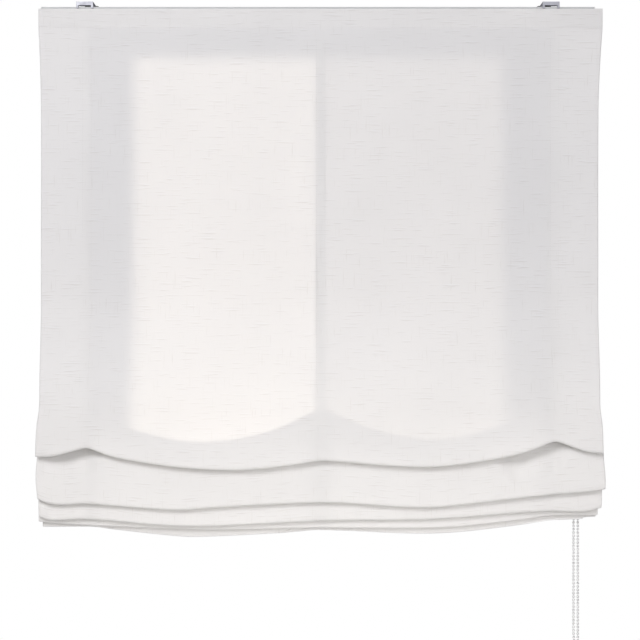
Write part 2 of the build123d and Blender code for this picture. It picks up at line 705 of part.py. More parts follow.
def make_rings(levels):
    """Cord rings at one or more heights on each of the three tapes."""
    with BuildPart() as rings:
        for x, heights in zip(TAPE_X, levels):
            for height in heights:
                with BuildSketch(Plane.XY.offset(height - RING_THICKNESS / 2)):
                    with Locations((x, CORD_Y)):
                        RegularPolygon(RING_RADIUS, SMALL_SIDES)
                        RegularPolygon(RING_HOLE_RADIUS, SMALL_SIDES, mode=Mode.SUBTRACT)
        extrude(amount=RING_THICKNESS)
    return rings.part


def make_cord_locks(heights):
    """Toggles that hold each cord's end under its lowest ring."""
    with BuildPart() as locks:
        for x, height in zip(TAPE_X, heights):
            with BuildSketch(Plane.XY.offset(height)):
                with Locations((x, CORD_Y)):
                    RegularPolygon(LOCK_RADIUS, SMALL_SIDES)
                    RegularPolygon(CORD_DIAMETER / 2 + RUNNING, SMALL_SIDES, major_radius=False, mode=Mode.SUBTRACT)
            extrude(amount=-LOCK_HEIGHT)
    return locks.part


def make_weight():
    """Bendable weight cord that lies in the bottom hem and follows its sag."""
    seat = BEND_Y + HEM_DEPTH / 2
    lift = CLOTH / 2 + WEIGHT_RADIUS + 2 * SEAT
    margin = HEM_DEPTH + WAIST_RIGHT
    stations = cloth_stations()
    ends = [stations[0] + margin, *stations[1:-1], stations[-1] - margin]
    with BuildPart() as weight:
        sections = []
        for x in ends:
            with BuildSketch(Plane.YZ.offset(x)) as section:
                with Locations((seat, level(x, HEM_LEVEL) + lift)):
                    RegularPolygon(WEIGHT_RADIUS, BEAD_SIDES)
            sections.append(section.sketch)
        loft(sections, ruled=True)
    return weight.part


def tape_band(back, thickness, overlap):
    """Flat band of hook or loop tape behind the top hem."""
    length = RAIL_LENGTH - 4 * CAP_RIM - HALF_DEPTH
    centre = (CLOTH_TOP + SHEET_TOP) / 2
    with BuildPart() as band:
        with BuildSketch(Plane.XZ.offset(-back)):
            with Locations((0, centre)):
                Rectangle(length, HOOK_WIDTH + overlap)
        extrude(amount=thickness)
    return band.part


os.makedirs("parts", exist_ok=True)

save(make_rail(), "headrail")
for side, word in ((-1, "left"), (1, "right")):
    save(make_end_cap(side), f"end_cap_{word}")
    save(make_bracket(side * BRACKET_X), f"bracket_{word}")
    save(make_lever(side * BRACKET_X, -side), f"lock_lever_{word}")
    save(make_rivet(side * BRACKET_X), f"lever_rivet_{word}")

save(make_drive_housing(), "drive_housing")
save(make_drive_cover(), "drive_cover")
save(make_chain_wheel(), "chain_wheel")
save(make_shaft(), "drive_shaft")
chain = chain_route()
save(make_bead_chain(chain), "bead_chain")
save(make_chain_connector(chain), "chain_connector")

last_bends = [height - RING_PITCH * (len(FOLD_FRONT) - 1) - LAST_RING_DROP for height in RING_LEVEL[:3]]
for x, word, last_bend in zip(TAPE_X, ("left", "middle", "right"), last_bends):
    lock_top = last_bend - RING_PITCH / 2 - RING_THICKNESS
    save(make_spool(x), f"cord_spool_{word}")
    save(make_cradle(x), f"spool_cradle_{word}")
    save(
        ring_solid(x - WINDING_LENGTH / 2, WINDING_LENGTH, DRUM_RADIUS + CORD_DIAMETER, DRUM_RADIUS + RUNNING),
        f"cord_winding_{word}",
    )
    save(make_lift_cord(x, lock_top - LOCK_HEIGHT), f"lift_cord_{word}")
    save(make_lift_tape(x), f"lift_tape_{word}")

save(tape_band(-HALF_DEPTH, HOOK_TAPE, 0), "hook_tape")
save(tape_band(HOOK_FACE, HOOK_TAPE, CLOTH), "loop_tape")
save(make_fabric(), "fabric")
save(make_weight(), "hem_weight")
gathered = [
    [height - RING_PITCH * ring for ring in range(len(FOLD_FRONT) - 1)] + [last_bend - RING_PITCH / 2]
    for height, last_bend in zip(RING_LEVEL[:3], last_bends)
]
save(make_rings(gathered), "gathered_rings")
save(make_rings([[MIDDLE_RING_LEVEL]] * len(TAPE_X)), "middle_rings")
save(make_rings([[UPPER_RING_LEVEL]] * len(TAPE_X)), "upper_rings")
save(make_cord_locks([last_bend - RING_PITCH / 2 - RING_THICKNESS / 2 - SEAT for last_bend in last_bends]), "cord_locks")
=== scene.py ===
"""Relaxed roman blind: the cloth, its folds and fittings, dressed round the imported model."""

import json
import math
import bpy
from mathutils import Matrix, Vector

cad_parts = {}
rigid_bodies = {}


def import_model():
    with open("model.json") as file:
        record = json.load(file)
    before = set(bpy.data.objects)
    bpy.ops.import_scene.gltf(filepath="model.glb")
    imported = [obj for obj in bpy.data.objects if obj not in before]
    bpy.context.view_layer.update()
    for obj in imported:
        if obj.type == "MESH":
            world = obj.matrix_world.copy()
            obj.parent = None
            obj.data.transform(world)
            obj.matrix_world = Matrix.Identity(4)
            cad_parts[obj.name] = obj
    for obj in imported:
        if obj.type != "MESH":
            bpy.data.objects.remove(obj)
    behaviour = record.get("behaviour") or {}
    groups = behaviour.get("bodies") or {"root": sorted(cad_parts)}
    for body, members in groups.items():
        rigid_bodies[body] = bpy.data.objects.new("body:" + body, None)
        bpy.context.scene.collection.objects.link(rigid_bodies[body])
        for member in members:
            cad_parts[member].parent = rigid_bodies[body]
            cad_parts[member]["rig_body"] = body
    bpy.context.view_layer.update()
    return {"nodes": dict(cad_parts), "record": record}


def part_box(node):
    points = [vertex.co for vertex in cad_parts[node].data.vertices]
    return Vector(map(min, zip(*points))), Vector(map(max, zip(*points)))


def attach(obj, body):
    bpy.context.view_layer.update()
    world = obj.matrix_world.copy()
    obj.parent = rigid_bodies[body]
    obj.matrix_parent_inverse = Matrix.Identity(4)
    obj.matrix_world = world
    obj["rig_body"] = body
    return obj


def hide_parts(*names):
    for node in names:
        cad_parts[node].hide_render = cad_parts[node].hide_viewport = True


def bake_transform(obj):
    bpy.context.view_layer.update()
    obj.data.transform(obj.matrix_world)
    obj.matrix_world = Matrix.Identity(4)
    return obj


bl_info = {
    "name": "Roman Blind",
    "version": (1, 0, 0),
    "blender": (4, 5, 0),
    "location": "3D View > Sidebar > Blind",
    "description": "Builds a relaxed roman blind of slubbed linen with its headrail and bead chain",
    "category": "Object",
}

import bmesh
import bpy
from mathutils import Matrix, Vector

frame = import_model()

RAIL_BODY = "headrail"
STACK_BODY = "stack"
TAPE_WORDS = ("left", "middle", "right")


def middle_of(name, axis):
    """Middle of a CAD node's box along one axis."""
    return sum(getattr(corner, axis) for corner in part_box(name)) / 2


# Places that the pieces share, in metres, with y towards the wall
CLOTH_TOP_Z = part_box("fabric")[1].z
SEAM_Z = CLOTH_TOP_Z - 0.0352
SHEET_Y = -0.0178
HEM_PLY_Y = -0.0170
BEND_Y = -0.0176
CORD_Y = middle_of("lift_cord_middle", "y")
TAPES = [middle_of(f"lift_tape_{word}", "x") for word in TAPE_WORDS]
MIDDLE_RING_Z = middle_of("middle_rings", "z")
UPPER_RING_Z = middle_of("upper_rings", "z")
RING_Z = (-0.718, -0.722, -0.709)
RING_STEP = 0.010

# Depths of the folds' legs, and how the legs lie over each other at their bends
FOLD_FRONT = (-0.0700, -0.0530, -0.0390, -0.0270)
FOLD_BACK = (-0.0600, -0.0435, -0.0305, -0.0215)
LEG_PITCH = 0.0026
BEND_DROP = 0.014
LAST_BEND_DROP = 0.012
LAST_RING_DROP = 3 * RING_STEP + LAST_BEND_DROP + RING_STEP / 2
FOLD_ROUND = 1.3

# Height over which a leg comes in to its bend, and what a hollow adds to it
BACK_REACH, BACK_REACH_IN_HOLLOW = 0.034, 0.070
FRONT_REACH, FRONT_REACH_IN_HOLLOW = 0.030, 0.072
SHORTEST_REACH = 0.006

# Heights where the sheet starts to lean out to the first fold, and where it gets there
LEAN_Z = MIDDLE_RING_Z - 0.006
BELLY_Z = -0.722

# Rows of stitches through the top hem, as (height, half the height that each one draws in)
STITCH_ROWS = ((CLOTH_TOP_Z - 0.0065, 0.0013), (SEAM_Z + 0.0020, 0.0014))
STITCH_DIP = 0.0004

# Counts of the cloth's rows and columns
HANGING_ROWS = 24
LEAN_ROWS = 10
COLUMNS = 64

# Lower edge of each fold along the blind, as (x, z), of the bottom hem and of the first bend
FOLD_EDGES = (
    ((-0.493, -0.8038), (-0.470, -0.8037), (-0.446, -0.7985), (-0.414, -0.7898), (-0.402, -0.7886),
     (-0.390, -0.7925), (-0.367, -0.8015), (-0.331, -0.8090), (-0.240, -0.8221), (-0.136, -0.8265),
     (-0.057, -0.8195), (0.012, -0.8108), (0.108, -0.8178), (0.195, -0.8212), (0.274, -0.8134),
     (0.352, -0.7990), (0.386, -0.7885), (0.404, -0.7800), (0.417, -0.7772), (0.430, -0.7795),
     (0.457, -0.7892), (0.479, -0.7958), (0.497, -0.7970)),
    ((-0.496, -0.8770), (-0.489, -0.8835), (-0.461, -0.8890), (-0.408, -0.8870), (-0.329, -0.8928),
     (-0.242, -0.8980), (-0.189, -0.8940), (0.012, -0.8850), (0.188, -0.8936), (0.302, -0.8831),
     (0.410, -0.8709), (0.470, -0.8665), (0.504, -0.8615)),
    ((-0.493, -0.9110), (-0.485, -0.9160), (-0.472, -0.9180), (-0.410, -0.9154), (-0.269, -0.9265),
     (-0.190, -0.9277), (0.012, -0.9180), (0.197, -0.9155), (0.400, -0.9013), (0.479, -0.9020),
     (0.500, -0.8955)),
    ((-0.495, -0.9205), (-0.456, -0.9242), (-0.332, -0.9302), (-0.191, -0.9351), (-0.014, -0.9314),
     (0.216, -0.9310), (0.357, -0.9178), (0.414, -0.9105), (0.495, -0.9090)),
)
HEM_EDGE = ((-0.487, -0.9309), (-0.400, -0.9309), (-0.368, -0.9350), (-0.244, -0.9480), (-0.202, -0.9486),
            (-0.058, -0.9415), (0.000, -0.9365), (0.206, -0.9427), (0.358, -0.9280), (0.415, -0.9195),
            (0.464, -0.9176), (0.486, -0.9130))
BEND_EDGE = ((-0.495, -0.742), (-0.452, -0.728), (-0.419, -0.718), (-0.399, -0.718), (-0.330, -0.752),
             (-0.205, -0.776), (-0.080, -0.756), (-0.005, -0.722), (0.015, -0.722), (0.090, -0.752),
             (0.212, -0.772), (0.335, -0.742), (0.409, -0.709), (0.429, -0.709), (0.460, -0.716),
             (0.500, -0.726))

# Where the cloth's left and right edges stand at each stage of its way down: 0 the top seam, 1 the lean,
# 2 the belly, 3, 5, 7 and 9 the folds' lower edges, 4, 6, 8 and 10 the bends behind them, and 12 the hem
SIDE_EDGES = (
    (0.00, -0.4950, 0.5042), (0.11, -0.4925, 0.5005), (0.28, -0.4905, 0.4970), (1.00, -0.4900, 0.4958),
    (1.60, -0.4870, 0.4935), (2.00, -0.4856, 0.4920), (3.00, -0.4926, 0.4979), (4.00, -0.4900, 0.4955),
    (4.50, -0.4907, 0.4965), (4.80, -0.4953, 0.5030), (5.00, -0.4920, 0.5042), (6.00, -0.4900, 0.4970),
    (6.60, -0.4920, 0.5008), (7.00, -0.4915, 0.4994), (8.00, -0.4905, 0.4960), (9.00, -0.4932, 0.4940),
    (10.0, -0.4890, 0.4930), (11.0, -0.4874, 0.4920), (12.0, -0.4874, 0.4920),
)
LEFT_EDGE = [(stage, left) for stage, left, right in SIDE_EDGES]
RIGHT_EDGE = [(stage, right) for stage, left, right in SIDE_EDGES]

# Stages along which the weave is kept level: the folds' lower edges after the first, and the hem
LEVEL_STAGES = (5, 7, 9, 12)

# Bottom hem from its lower edge up its back, as (distance back, height)
HEM_ROLL = (
    (0.0002, 0.0016), (0.0024, 0), (0.0045, 0.0016), (0.0047, 0.006),
    (0.0030, 0.012), (0.0010, 0.020), (0.0008, 0.027), (0.0008, 0.030),
)

# Where the lower folds hang back under the first one's raised ends, as (middle, full within, gone beyond)
HOLLOWS = ((-0.428, 0.018, 0.070), (0.385, 0.030, 0.085))

# Turned outlines, as (radius, height)
LOCK_OUTLINE = (
    (0.0008, 0), (0.0030, -0.0001), (0.0038, -0.0010), (0.0040, -0.0032), (0.0034, -0.0055),
    (0.0038, -0.0078), (0.0036, -0.0098), (0.0028, -0.0108), (0.0008, -0.0110),
)
CONNECTOR_OUTLINE = (
    (0.0017, -0.0070), (0.0026, -0.0066), (0.0030, -0.0052), (0.0031, -0.0012), (0.0027, 0.0),
    (0.0031, 0.0012), (0.0030, 0.0052), (0.0026, 0.0066), (0.0017, 0.0070),
)

# The photograph's width, one of its pixels on the sheet, the camera and the floor
IMAGE_WIDTH = 640
PIXEL = 0.001771
CAMERA_DISTANCE = 3.2
CAMERA_PLACE = (0.00372, -CAMERA_DISTANCE, -0.5641)
FLOOR_Z = -2.35
FLOOR_HALF = 1.6

# Lamps, as (name, place, aim, size, watts, colour, spread in degrees)
COOL = (0.988, 0.98, 1.0)
PALE = (1.0, 0.95, 0.86)
WARM = (1.0, 0.90, 0.76)
LAMPS = (
    ("Key light", (-1.2, -2.8, 1.05), (0, 0, -0.60), (1.2, 1.2), 79, COOL, 180),
    ("Fill light", (1.3, -2.9, -0.55), (0, 0, -0.65), (2.0, 2.0), 39.5, COOL, 180),
    ("Low light", (0, -2.2, -1.20), (0, 0, -1.25), (1.4, 0.4), 2.1, PALE, 44),
    ("Left back glow", (-0.163, 0.26, -0.450), (-0.163, 0, -0.450), (0.325, 0.70), 0.345, WARM, 9),
    ("Right back glow", (0.165, 0.26, -0.450), (0.165, 0, -0.450), (0.325, 0.70), 0.17, WARM, 9),
)


def metres(name, description, default):
    """A size that a user may change."""
    return bpy.props.FloatProperty(
        name=name, description=description, default=default, unit="LENGTH", precision=5
    )


def tint(name, description, default):
    """A colour that a user may change."""
    return bpy.props.FloatVectorProperty(
        name=name, description=description, default=default, subtype="COLOR", min=0, max=1
    )


class BlindSizes(bpy.types.PropertyGroup):
    """Sizes of the parts that are finished here"""

    cloth_thickness: metres("Cloth Thickness", "Thickness of the linen", 0.0005)
    side_hem: metres("Side Hem", "Width of the cloth turned back at each side", 0.087)
    billow: metres("Billow", "How far the cloth swells forward between its tapes", 0.005)
    tape_width: metres("Lift Tape Width", "Width of the tapes sewn behind the cloth", 0.018)
    tape_thickness: metres("Lift Tape Thickness", "Thickness of the lift tapes", 0.0004)
    stitch_length: metres("Stitch Length", "Length of one stitch of the seams", 0.0032)
    thread_radius: metres("Thread Radius", "Radius of the sewing thread", 0.00018)
    cord_diameter: metres("Lift Cord Diameter", "Diameter of the three lift cords", 0.0014)
    ring_radius: metres("Ring Radius", "Outer radius of a cord ring", 0.006)
    ring_wire: metres("Ring Wire Radius", "Radius of the ring's round section", 0.00085)
    bead_radius: metres("Bead Radius", "Radius of one bead of the chain", 0.00225)
    bead_pitch: metres("Bead Pitch", "Distance from bead to bead", 0.006)


class BlindColours(bpy.types.PropertyGroup):
    """Colours of the blind's materials"""

    linen: tint("Linen", "Colour of the cloth", (0.965, 0.960, 0.952))
    slub: tint("Slub", "Colour of the thick yarns", (0.72, 0.70, 0.67))
    tape: tint("Tape", "Colour of the sewn tapes", (0.84, 0.84, 0.83))
    rail: tint("Headrail", "Colour of the powder coat", (0.62, 0.63, 0.63))
    zinc: tint("Zinc", "Colour of the plated brackets", (0.38, 0.385, 0.42))
    lever: tint("Lever", "Colour of the locking levers", (0.02, 0.02, 0.022))
    plastic: tint("White Plastic", "Colour of caps and cradles", (0.82, 0.82, 0.80))
    gear: tint("Grey Plastic", "Colour of spools and wheel", (0.42, 0.43, 0.44))
    beads: tint("Beads", "Colour of the bead chain", (0.74, 0.74, 0.74))


def settings(context):
    """The blind's sizes and colours."""
    return context.scene.blind_sizes, context.scene.blind_colours


# Finishes


def new_finish(name):
    """A fresh node material, with its tree and its shader."""
    finish = bpy.data.materials.new(name)
    finish.use_nodes = True
    return finish, finish.node_tree, finish.node_tree.nodes["Principled BSDF"]


def fill(tree, target, inputs):
    """Plug sockets into a node's inputs, or set their values."""
    for key, value in inputs.items():
        if isinstance(value, bpy.types.NodeSocket):
            tree.links.new(value, target.inputs[key])
        else:
            target.inputs[key].default_value = value


def node(tree, kind, inputs=None, **settings):
    """Add a node, set it and fill its inputs."""
    made = tree.nodes.new(kind)
    for key, value in settings.items():
        setattr(made, key, value)
    fill(tree, made, inputs or {})
    return made


def object_place(tree):
    """Coordinates of a piece's own mesh, in metres."""
    return node(tree, "ShaderNodeTexCoord").outputs["Object"]


def scaled(tree, vector, scale, shift=(0, 0, 0)):
    """Coordinates stretched and shifted."""
    inputs = {"Vector": vector, "Scale": scale, "Location": shift}
    return node(tree, "ShaderNodeMapping", inputs).outputs["Vector"]


def spread(tree, value, low, high, to_low=0.0, to_high=1.0):
    """A pattern's range from low to high, spread over another range."""
    inputs = {"Value": value, "From Min": low, "From Max": high, "To Min": to_low, "To Max": to_high}
    return node(tree, "ShaderNodeMapRange", inputs).outputs["Result"]


def noise(tree, vector, scale, detail=2.0):
    """Cloudy pattern."""
    inputs = {"Vector": vector, "Scale": scale, "Detail": detail}
    return node(tree, "ShaderNodeTexNoise", inputs).outputs["Fac"]


def waves(tree, vector, scale, distortion, direction, detail=2.0):
    """Pattern of parallel bands."""
    inputs = {"Vector": vector, "Scale": scale, "Distortion": distortion, "Detail": detail}
    return node(tree, "ShaderNodeTexWave", inputs, bands_direction=direction).outputs["Fac"]


def maths(tree, operation, a, b):
    """Two patterns or numbers worked into one."""
    return node(tree, "ShaderNodeMath", {0: a, 1: b}, operation=operation).outputs["Value"]


def opaque(colour):
    """A colour with full alpha."""
    return (*colour, 1.0)


def mixed(tree, pattern, share, a, b):
    """Colour a, turned towards b by a share of a pattern."""
    factor, colour_a, colour_b, result = 0, 6, 7, 2
    inputs = {factor: maths(tree, "MULTIPLY", pattern, share), colour_a: a, colour_b: b}
    return node(tree, "ShaderNodeMix", inputs, data_type="RGBA").outputs[result]


def mottled(tree, colour, pattern, share, darkening):
    """A colour, darkened by a share of a pattern."""
    return mixed(tree, pattern, share, opaque(colour), opaque(c * darkening for c in colour))


def bumped(tree, shader, height, strength, distance):
    """Raise a surface by a pattern, and give back its normal."""
    made = node(tree, "ShaderNodeBump", {"Height": height, "Strength": strength, "Distance": distance})
    tree.links.new(made.outputs["Normal"], shader.inputs["Normal"])
    return made.outputs["Normal"]


def show_mix(tree, share, first, second):
    """Send a mix of two shaders to the output."""
    both = node(tree, "ShaderNodeMixShader", {0: share, 1: first, 2: second})
    output = next(n for n in tree.nodes if n.type.startswith("OUTPUT"))
    tree.links.new(both.outputs["Shader"], output.inputs["Surface"])


def lit_through(tree, shader, share, inputs):
    """Let a share of the light through to the other side of a cloth or tape."""
    glow = node(tree, "ShaderNodeBsdfTranslucent", inputs)
    show_mix(tree, share, shader.outputs["BSDF"], glow.outputs["BSDF"])


def linen_finish(name, colours, through):
    """Slubbed linen that lets light through: its yarns run along the cloth's own map, in metres."""
    finish, tree, shader = new_finish(name)
    along = node(tree, "ShaderNodeUVMap", uv_map="Cloth").outputs["UV"]
    weft_slubs = spread(tree, noise(tree, scaled(tree, along, (24, 400, 1)), 1.0), 0.59, 0.72)
    warp_slubs = spread(tree, noise(tree, scaled(tree, along, (420, 22, 1)), 1.0), 0.62, 0.76)
    # Painted highlight: a lighter line along the upper side of each weft slub, the same slub pattern moved 2
    # mm up the cloth
    painted_slub_highlight = spread(tree, noise(tree, scaled(tree, along, (24, 400, 1), (0, 0.8, 0)), 1.0), 0.59, 0.72)
    slubs = maths(tree, "MAXIMUM", weft_slubs, maths(tree, "MULTIPLY", warp_slubs, 0.8))
    clouds = spread(tree, noise(tree, along, 7.0, 3.0), 0.35, 0.7)
    weft = waves(tree, along, 210.0, 1.2, "Y", 1.0)
    warp = waves(tree, along, 240.0, 1.2, "X", 1.0)
    yarns = maths(tree, "MULTIPLY", weft, warp)
    highlight_colour = opaque(min(1.0, c * 1.06) for c in colours.linen)
    darker = opaque(c * 0.96 for c in colours.linen)
    colour = mixed(tree, slubs, 0.42, opaque(colours.linen), opaque(colours.slub))
    # Lighten the colour along the painted slub highlight
    colour = mixed(tree, painted_slub_highlight, 0.9, colour, highlight_colour)
    colour = mixed(tree, clouds, 0.35, colour, darker)
    colour = mixed(tree, yarns, 0.10, colour, opaque(colours.slub))
    fill(tree, shader, {"Base Color": colour, "Roughness": 0.9})
    fill(tree, shader, {"Specular IOR Level": 0.2, "Sheen Weight": 0.1})
    relief = maths(tree, "ADD", maths(tree, "MULTIPLY", slubs, 0.8), maths(tree, "MULTIPLY", yarns, 0.35))
    normal = bumped(tree, shader, relief, 0.3, 0.0004)
    lit_through(tree, shader, through, {"Color": colour, "Normal": normal})
    return finish


def tape_finish(name, colour, through=0.0):
    """Narrow woven tape with a twill rib along it."""
    finish, tree, shader = new_finish(name)
    place = object_place(tree)
    rib = waves(tree, scaled(tree, place, (1, 0, 1)), 320.0, 0.6, "DIAGONAL")
    shade = mottled(tree, colour, rib, 0.4, 0.86)
    fill(tree, shader, {"Base Color": shade, "Roughness": 0.85, "Sheen Weight": 0.1})
    bumped(tree, shader, maths(tree, "ADD", rib, noise(tree, place, 900.0)), 0.3, 0.0002)
    if through:
        lit_through(tree, shader, through, {"Color": shade})
    return finish


def cord_finish(name, colour):
    """Fine braid wound round the cord."""
    finish, tree, shader = new_finish(name)
    braid = waves(tree, object_place(tree), 280.0, 0.4, "DIAGONAL")
    fill(tree, shader, {"Base Color": mottled(tree, colour, braid, 0.5, 0.7), "Roughness": 0.7})
    bumped(tree, shader, braid, 0.5, 0.0002)
    return finish


def plastic_finish(name, colour, roughness):
    """Moulded plastic with a fine spark-eroded grain and slight handling wear."""
    finish, tree, shader = new_finish(name)
    place = object_place(tree)
    handling = noise(tree, place, 60.0, 3.0)
    worn = spread(tree, handling, 0.3, 0.7, roughness - 0.06, roughness + 0.08)
    fill(tree, shader, {"Base Color": mottled(tree, colour, handling, 0.4, 0.9), "Roughness": worn})
    bumped(tree, shader, noise(tree, place, 1400.0), 0.12, 0.00012)
    return finish


def clear_finish(name, colour):
    """Clear, slightly milky plastic."""
    finish, tree, shader = new_finish(name)
    haze = spread(tree, noise(tree, object_place(tree), 220.0), 0.3, 0.7, 0.18, 0.34)
    fill(tree, shader, {"Base Color": opaque(colour), "Roughness": haze})
    fill(tree, shader, {"Transmission Weight": 0.55, "IOR": 1.46})
    return finish


def metal_finish(name, colour, roughness, metallic=1.0, brushed=True):
    """Plated or drawn metal, with fine lines along X and a mottled plating."""
    finish, tree, shader = new_finish(name)
    place = object_place(tree)
    mottle = noise(tree, place, 150.0, 4.0)
    worn = spread(tree, mottle, 0.3, 0.7, roughness - 0.07, roughness + 0.1)
    plating = mottled(tree, colour, mottle, 0.5, 0.78)
    fill(tree, shader, {"Base Color": plating, "Roughness": worn, "Metallic": metallic})
    grain = (40, 2400, 2400) if brushed else (900, 900, 900)
    bumped(tree, shader, noise(tree, scaled(tree, place, grain), 1.0), 0.18, 0.00008)
    return finish


def paint_finish(name, colour):
    """Powder coat with a faint orange peel."""
    finish, tree, shader = new_finish(name)
    place = object_place(tree)
    dusty = mottled(tree, colour, noise(tree, place, 25.0, 4.0), 0.5, 0.94)
    fill(tree, shader, {"Base Color": dusty, "Roughness": 0.42, "Coat Weight": 0.2})
    bumped(tree, shader, noise(tree, place, 700.0), 0.12, 0.00015)
    return finish


# Shapes


def link_piece(name, mesh, finish):
    """Put a mesh in the scene as a piece with one material."""
    mesh.materials.clear()
    mesh.materials.append(finish)
    piece = bpy.data.objects.new(name, mesh)
    bpy.context.scene.collection.objects.link(piece)
    return piece


def as_piece(name, shape, finish, smooth_angle=None):
    """Turn a finished bmesh into a piece with one material."""
    mesh = bpy.data.meshes.new(name)
    shape.to_mesh(mesh)
    shape.free()
    mesh.shade_smooth()
    if smooth_angle is not None:
        mesh.set_sharp_from_angle(angle=math.radians(smooth_angle))
    return link_piece(name, mesh, finish)


def along_line(start, end):
    """Place and turn that lay a shape's Z axis along a line, at its middle."""
    turn = (end - start).to_track_quat("Z", "Y").to_matrix().to_4x4()
    return Matrix.Translation((start + end) / 2) @ turn


def spin_round(shape, outline, centre, axis, steps):
    """Spin an outline once round an axis."""
    bmesh.ops.spin(
        shape, geom=outline, cent=centre, axis=axis, angle=math.tau, steps=steps, use_merge=True
    )


def add_ring(shape, centre, radius, wire, axis, steps=20, sides=8):
    """Closed ring of round wire about an axis, spun from a circle."""
    across = axis.orthogonal().normalized()
    facing = across.cross(axis).to_track_quat("Z", "Y").to_matrix().to_4x4()
    place = Matrix.Translation(centre + across * radius) @ facing
    made = bmesh.ops.create_circle(shape, radius=wire, segments=sides, matrix=place)
    edges = dict.fromkeys(edge for vertex in made["verts"] for edge in vertex.link_edges)
    spin_round(shape, made["verts"] + list(edges), centre, axis, steps)


def add_turned(shape, centre, outline, steps=20):
    """Turned shape: an outline of (radius, height) points spun about an upright axis."""
    axis = Vector((0, 0, 1))
    across = axis.orthogonal().normalized()
    points = [shape.verts.new(centre + across * radius + axis * height) for radius, height in outline]
    edges = [shape.edges.new(pair) for pair in zip(points, points[1:])]
    spin_round(shape, points + edges, centre, axis, steps)


def as_pattern(shape):
    """A small shape as a mesh, to be laid down many times."""
    pattern = bpy.data.meshes.new("pattern")
    shape.to_mesh(pattern)
    shape.free()
    return pattern


def lay_down(shape, pattern, place):
    """Add one copy of a pattern at a place."""
    copy = pattern.copy()
    copy.transform(place)
    shape.from_mesh(copy)
    bpy.data.meshes.remove(copy)


def tidy(shape):
    """Join points that meet and turn the faces outwards."""
    bmesh.ops.remove_doubles(shape, verts=shape.verts, dist=1e-6)
    bmesh.ops.recalc_face_normals(shape, faces=shape.faces)


def rounded_copy(source, finish, width):
    """A rigid part with its sharp edges broken, in place of the plain one."""
    shape = bmesh.new()
    shape.from_mesh(source.data)
    bmesh.ops.remove_doubles(shape, verts=shape.verts, dist=1e-6)
    flat = math.radians(1)
    bmesh.ops.dissolve_limit(shape, angle_limit=flat, verts=shape.verts, edges=shape.edges)
    bmesh.ops.recalc_face_normals(shape, faces=shape.faces)
    piece = as_piece(f"{source.name}_finished", shape, finish, 32)
    edge = piece.modifiers.new("Broken edges", "BEVEL")
    edge.width = width
    edge.segments = 2
    edge.limit_method = "ANGLE"
    edge.angle_limit = math.radians(40)
    edge.harden_normals = True
    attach(piece, source["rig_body"])
    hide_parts(source.name)
    return piece


def follow_cloth(piece):
    """Bake the place of a piece of cloth, tape or cord into its mesh."""
    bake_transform(piece)


def new_route(name, kind):
    """A curve of one spline in space, with its object."""
    curve = bpy.data.curves.new(name, "CURVE")
    curve.dimensions = "3D"
    return curve, curve.splines.new(kind), bpy.data.objects.new(name, curve)


def run_along(points):
    """Distance along a line of points at each of them."""
    run = [0.0]
    for a, b in zip(points, points[1:]):
        run.append(run[-1] + math.dist(a, b))
    return run


def line_of(route):
    """Points that a curve with no bevel runs through."""
    bare = bpy.data.meshes.new_from_object(route)
    points = [vertex.co.copy() for vertex in bare.vertices]
    bpy.data.meshes.remove(bare)
    return points


# Cloth


def height_on(edge, x):
    """Height of a measured edge at x, on a smooth line through its points."""
    if x <= edge[0][0]:
        return edge[0][1]
    if x >= edge[-1][0]:
        return edge[-1][1]
    i = next(k for k in range(len(edge) - 1) if x <= edge[k + 1][0])
    before, start, end, after = (edge[min(max(k, 0), len(edge) - 1)] for k in (i - 1, i, i + 1, i + 2))
    width = end[0] - start[0]
    t = (x - start[0]) / width
    slope_in = (end[1] - before[1]) / (end[0] - before[0]) * width
    slope_out = (after[1] - start[1]) / (after[0] - start[0]) * width
    return (
        start[1] * (2 * t**3 - 3 * t**2 + 1)
        + slope_in * (t**3 - 2 * t**2 + t)
        + end[1] * (3 * t**2 - 2 * t**3)
        + slope_out * (t**3 - t**2)
    )


def smooth(value, low, high):
    """0 up to low, 1 from high on, and an even bend between them."""
    t = min(1.0, max(0.0, (value - low) / (high - low)))
    return t * t * (3 - 2 * t)


def bay(x):
    """0 at a tape, 1 midway between two tapes, and in between past the outer ones."""
    for start, end in zip(TAPES, TAPES[1:]):
        if start <= x <= end:
            return math.sin(math.pi * (x - start) / (end - start)) ** 2
    out = TAPES[0] - x if x < TAPES[0] else x - TAPES[2]
    return 0.6 * smooth(out, 0.0, 0.09)


def swell(x, z, sizes):
    """How far the hanging sheet stands forward of the tape line."""
    down = min(1.0, max(0.0, (SEAM_Z - z) / (SEAM_Z - LEAN_Z)))
    broad = 0.0007 * math.sin(x * 31 + 1.3) * math.sin(z * 9 + x * 5)
    fine = 0.0004 * math.sin(x * 67 + z * 13)
    return sizes.billow * bay(x) * down * 0.8 + 0.0011 * down**2 + (broad + fine) * down


def hollow(x):
    """1 where the lower folds hang back under the raised ends of the first, 0 elsewhere."""
    return sum(1 - smooth(abs(x - middle), full, gone) for middle, full, gone in HOLLOWS)


def top_hem():
    """The top hem from its inner ply over the top to the seam, drawn in at its stitches, as (y, z)."""
    shoulder, crown = CLOTH_TOP_Z - 0.003, CLOTH_TOP_Z - 0.0004
    line = [(HEM_PLY_Y, SEAM_Z), (HEM_PLY_Y, SEAM_Z + 0.014), (HEM_PLY_Y, shoulder)]
    line += [(HEM_PLY_Y - 0.0001, crown), (SHEET_Y + 0.0001, crown), (SHEET_Y, shoulder)]
    upper, lower = (
        [(SHEET_Y, z + half), (SHEET_Y + STITCH_DIP, z), (SHEET_Y, z - half)] for z, half in STITCH_ROWS
    )
    return line + upper + [(SHEET_Y, CLOTH_TOP_Z - 0.016)] + lower


